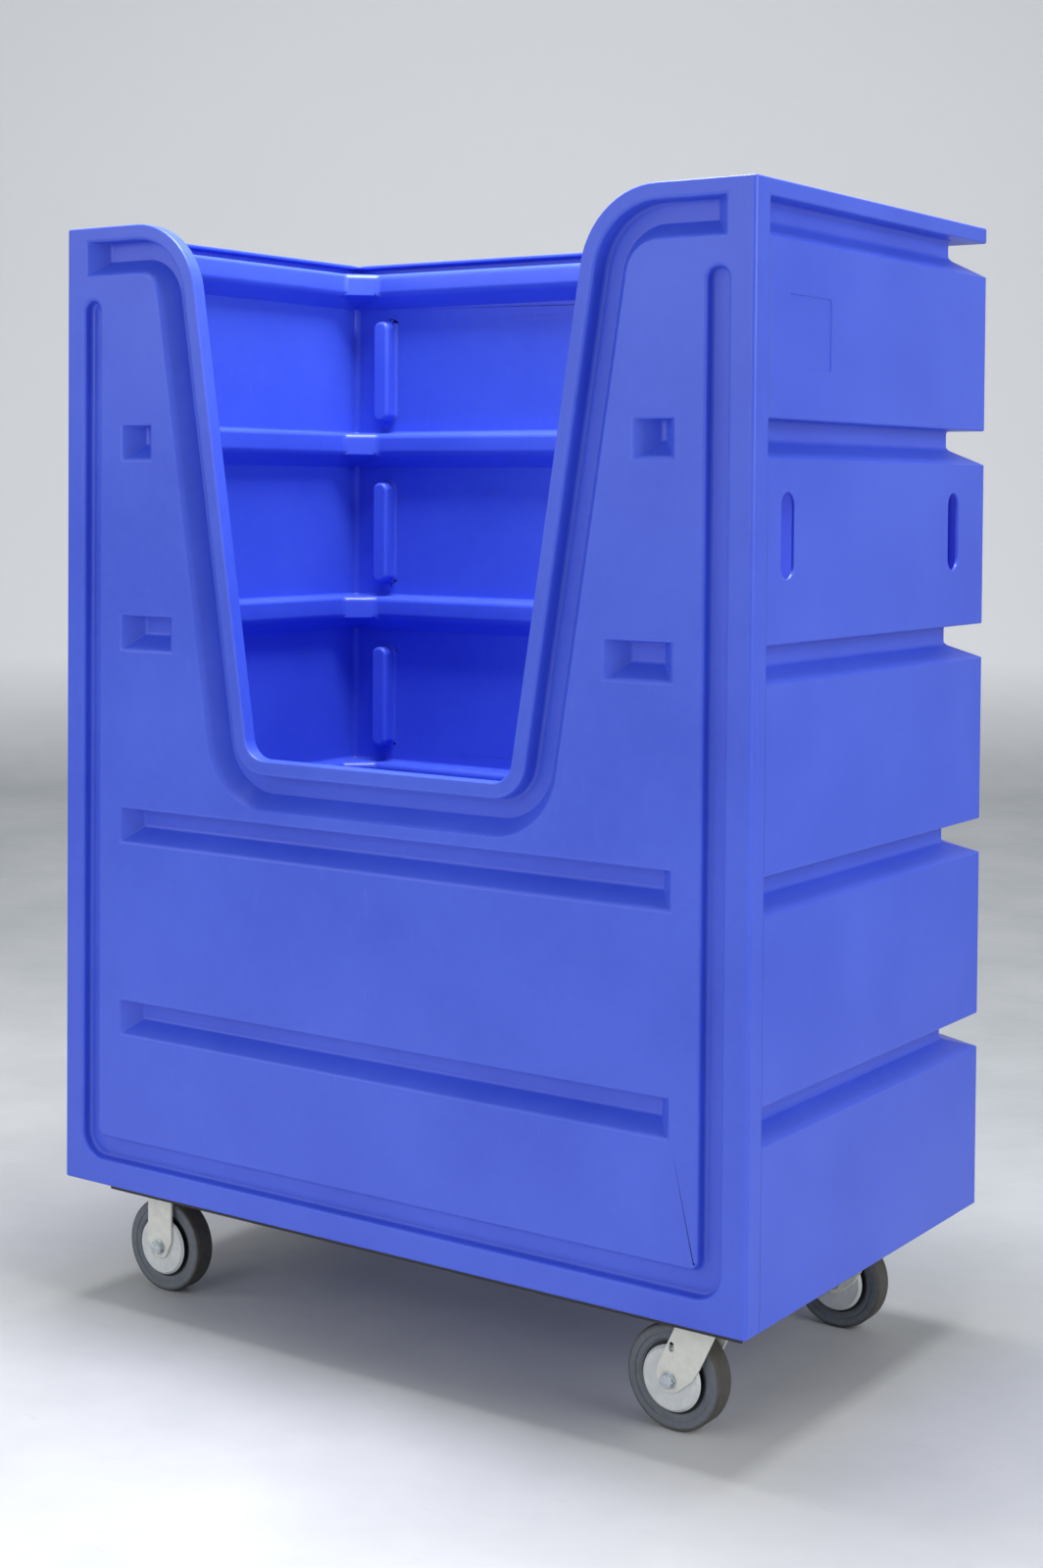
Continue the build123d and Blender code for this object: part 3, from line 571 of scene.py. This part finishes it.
def floor_concrete():
    # Worn pale concrete under the cart and a plain painted wall behind: stains and dust break the tone up.
    # Painted shade makes the floor darker towards the back.
    material, tree, shader = new_material("pale_worn_concrete")
    place = add_node(tree, "TexCoord").outputs["Object"]
    stain = noise(tree, place, 420, 4, 0.6)
    scuff = noise(tree, stretched(tree, place, 1, 3, 1), 90, 6, 0.7)
    axes = add_node(tree, "SeparateXYZ", Vector=place).outputs
    # Painted shade: the floor's colour runs from pale in front to grey further back.
    far_floor_shade = level(tree, axes["Y"], -1.6, 1.6, 0.0, 1.0)
    pale = ramp(tree, stain, [(0.3, "cecfcf"), (0.7, "dddddd")])
    base = mix(tree, far_floor_shade, pale, ramp(tree, stain, [(0.3, "a0a4a7"), (0.7, "adb0b3")]))
    base = mix(tree, level(tree, scuff, 0.60, 0.74, 0.0, 0.22), base, "a9acb0")
    rise = level(tree, axes["Z"], 0.02, 0.5, 0.0, 1.0)
    base = mix(tree, rise, base, "e4e5e7")
    tree.links.new(base, shader.inputs["Base Color"])
    tree.links.new(level(tree, scuff, 0.3, 0.7, 0.62, 0.8), shader.inputs["Roughness"])
    return material


def studio_floor():
    # A floor that curves up into a wall all round.
    mesh = bmesh.new()
    last = mesh.verts.new((FLOOR_REACH - COVE, 0, 0))
    mesh.edges.new((mesh.verts.new((0, 0, 0)), last))
    for step in range(1, COVE_STEPS + 1):
        turn = step / COVE_STEPS * pi / 2
        vert = mesh.verts.new((FLOOR_REACH - COVE + COVE * sin(turn), 0, COVE - COVE * cos(turn)))
        mesh.edges.new((last, vert))
        last = vert
    top = mesh.verts.new((FLOOR_REACH, 0, WALL_RISE))
    mesh.edges.new((last, top))
    bmesh.ops.spin(
        mesh, geom=mesh.verts[:] + mesh.edges[:], axis=(0, 0, 1), cent=(0, 0, 0), angle=2 * pi,
        steps=FLOOR_STEPS, use_merge=True,
    )
    bmesh.ops.remove_doubles(mesh, verts=mesh.verts, dist=FLOOR_MERGE)
    bmesh.ops.recalc_face_normals(mesh, faces=mesh.faces)
    data = bpy.data.meshes.new("studio_floor")
    mesh.to_mesh(data)
    mesh.free()
    for face in data.polygons:
        face.use_smooth = True
    floor = bpy.data.objects.new("studio_floor", data)
    bpy.context.scene.collection.objects.link(floor)
    data.materials.append(floor_concrete())


def soft_box(name, place, aim, width, height, power):
    # A white rectangular lamp at a place, facing its aim: metres and watts.
    lamp = bpy.data.lights.new(name, "AREA")
    lamp.shape = "RECTANGLE"
    lamp.size = width
    lamp.size_y = height
    lamp.energy = power
    light = bpy.data.objects.new(name, lamp)
    bpy.context.scene.collection.objects.link(light)
    light.location = place
    light.rotation_mode = "QUATERNION"
    light.rotation_quaternion = (Vector(aim) - Vector(place)).to_track_quat("-Z", "Y")


def studio_light():
    # Even light from all round, two boxes above the open top, and weaker ones for the front, the right end
    # and the wall.
    world = bpy.data.worlds.new("studio_air")
    world.use_nodes = True
    back = world.node_tree.nodes["Background"]
    back.inputs["Color"].default_value = linear("e9ecf0")
    back.inputs["Strength"].default_value = 0.52
    bpy.context.scene.world = world
    soft_box("overhead_box", (0.0, 0.3, 4.6), (0.0, 0.1, 0.5), 3.0, 2.2, 170)
    soft_box("well_box", (0.0, -0.1, 3.3), (0.0, 0.05, 0.5), 1.1, 0.6, 50)
    soft_box("left_box", (-3.4, -3.6, 2.8), (0.0, -0.2, 0.9), 1.4, 2.0, 24)
    soft_box("right_box", (4.4, -0.4, 2.6), (0.4, 0.0, 0.9), 1.8, 2.4, 84)
    soft_box("mouth_fill", (-0.4, -4.6, 2.2), (0.0, 0.3, 1.2), 2.6, 2.0, 43)
    soft_box("wall_wash", (-2.2, 3.2, 4.4), (-4.6, 7.5, 1.6), 3.0, 1.4, 85)


def studio_camera():
    # Eye height, looking a little down at the corner of the front and the right end.
    lens = bpy.data.cameras.new("studio_camera")
    lens.sensor_width = VIEW_SENSOR
    lens.lens = VIEW_LENS
    lens.shift_y = VIEW_SHIFT
    camera = bpy.data.objects.new("studio_camera", lens)
    bpy.context.scene.collection.objects.link(camera)
    turn = Matrix.Rotation(VIEW_YAW, 4, "Z") @ Matrix.Rotation(pi / 2 - VIEW_PITCH, 4, "X")
    camera.matrix_world = Matrix.Translation(VIEW_PLACE) @ turn @ Matrix.Rotation(VIEW_ROLL, 4, "Z")
    bpy.context.scene.camera = camera
    bpy.context.scene.view_settings.view_transform = "Standard"


studio_floor()
studio_light()
studio_camera()

bpy.context.view_layer.update()
